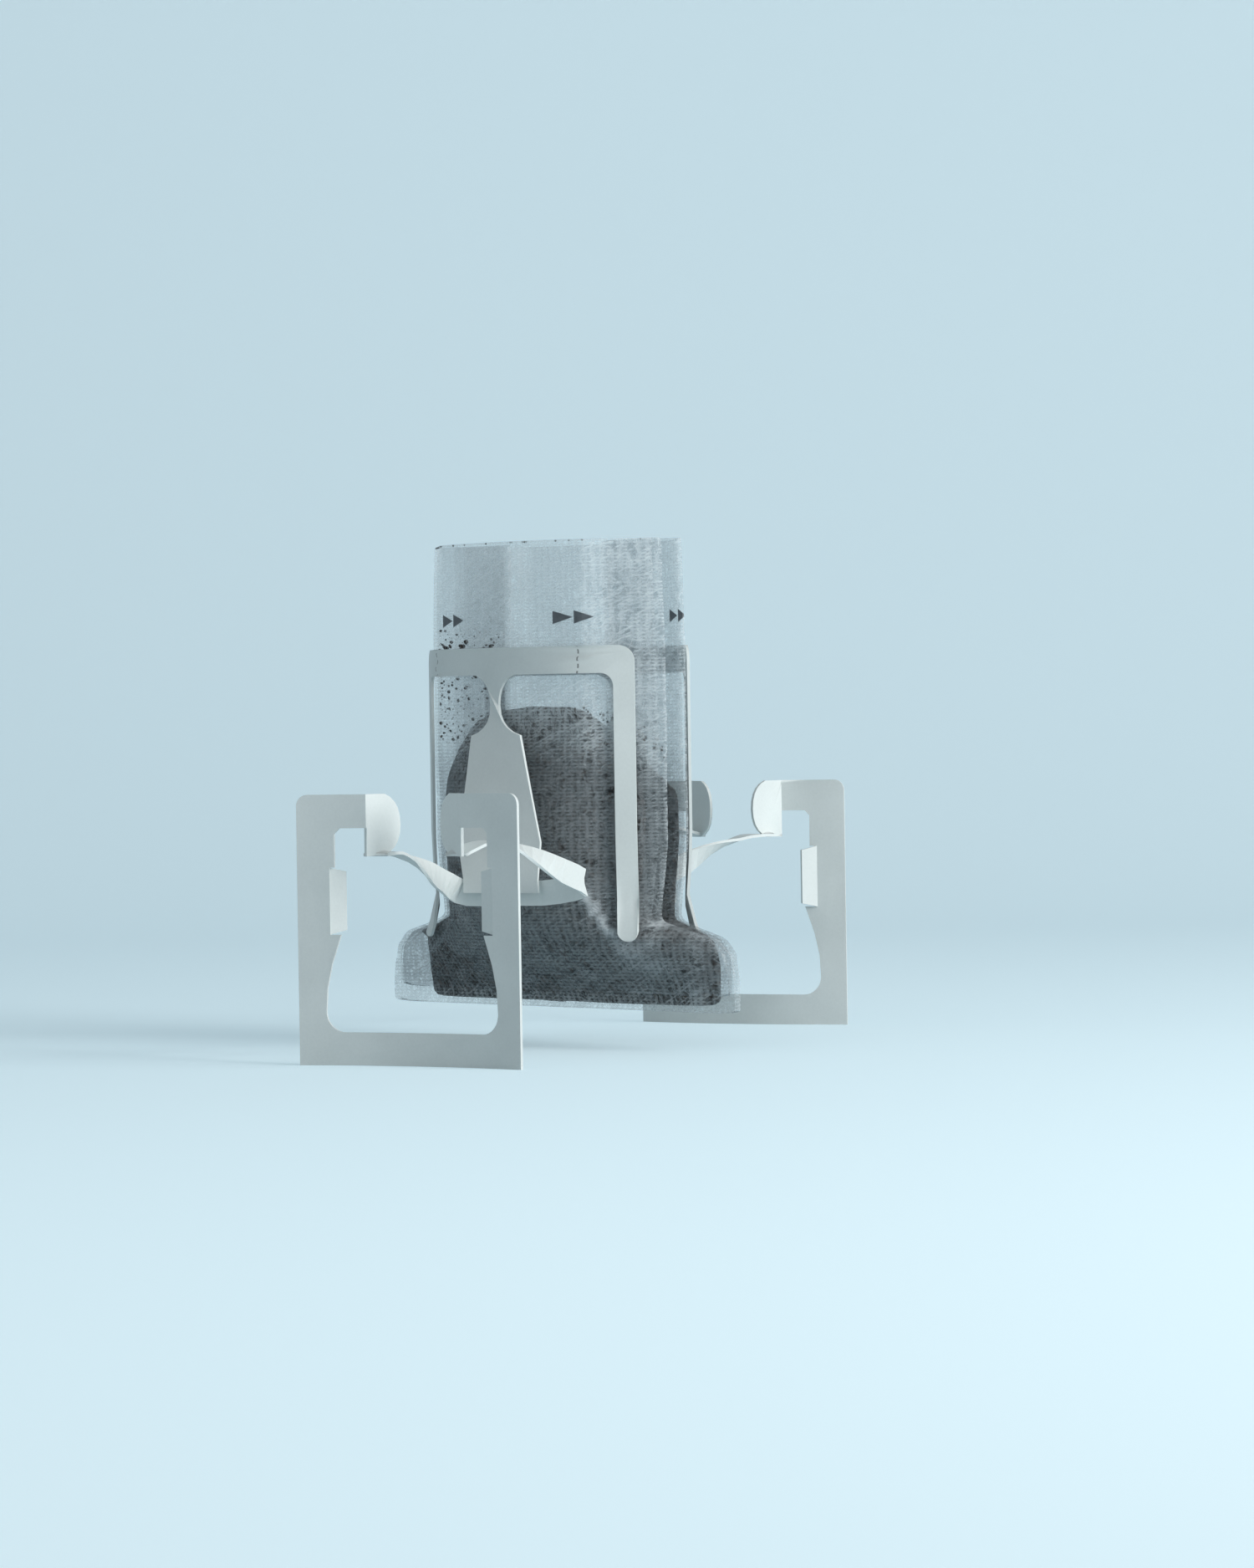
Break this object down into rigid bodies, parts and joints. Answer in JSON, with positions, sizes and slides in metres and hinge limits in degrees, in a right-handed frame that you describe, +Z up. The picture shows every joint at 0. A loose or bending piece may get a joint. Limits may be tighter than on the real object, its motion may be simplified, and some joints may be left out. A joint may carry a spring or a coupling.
{
  "type": "drip coffee bag",
  "caption": "Open gusseted filter bag of ground coffee with a die-cut card hanger on each face, whose ear is drawn out to hook over a cup's rim.",
  "frame": {"origin": "on the surface under the two ears, below the middle of the part's box", "axes": "+Z up, the ears face -Y and +Y, and the bag is turned 17 degrees about Z between them"},
  "size_m": [0.073, 0.1094, 0.078],
  "materials": {
    "filter_bag": "thin translucent nonwoven with light fibre streaks",
    "ground_coffee": "dark roasted grounds, matt and granular",
    "front_hanger": "matt off-white card",
    "rear_hanger": "matt off-white card"
  },
  "bodies": {
    "root": {"filter_bag": "filter_bag", "ground_coffee": "ground_coffee", "front_hanger": "front_hanger", "rear_hanger": "rear_hanger"}
  },
  "joints": []
}
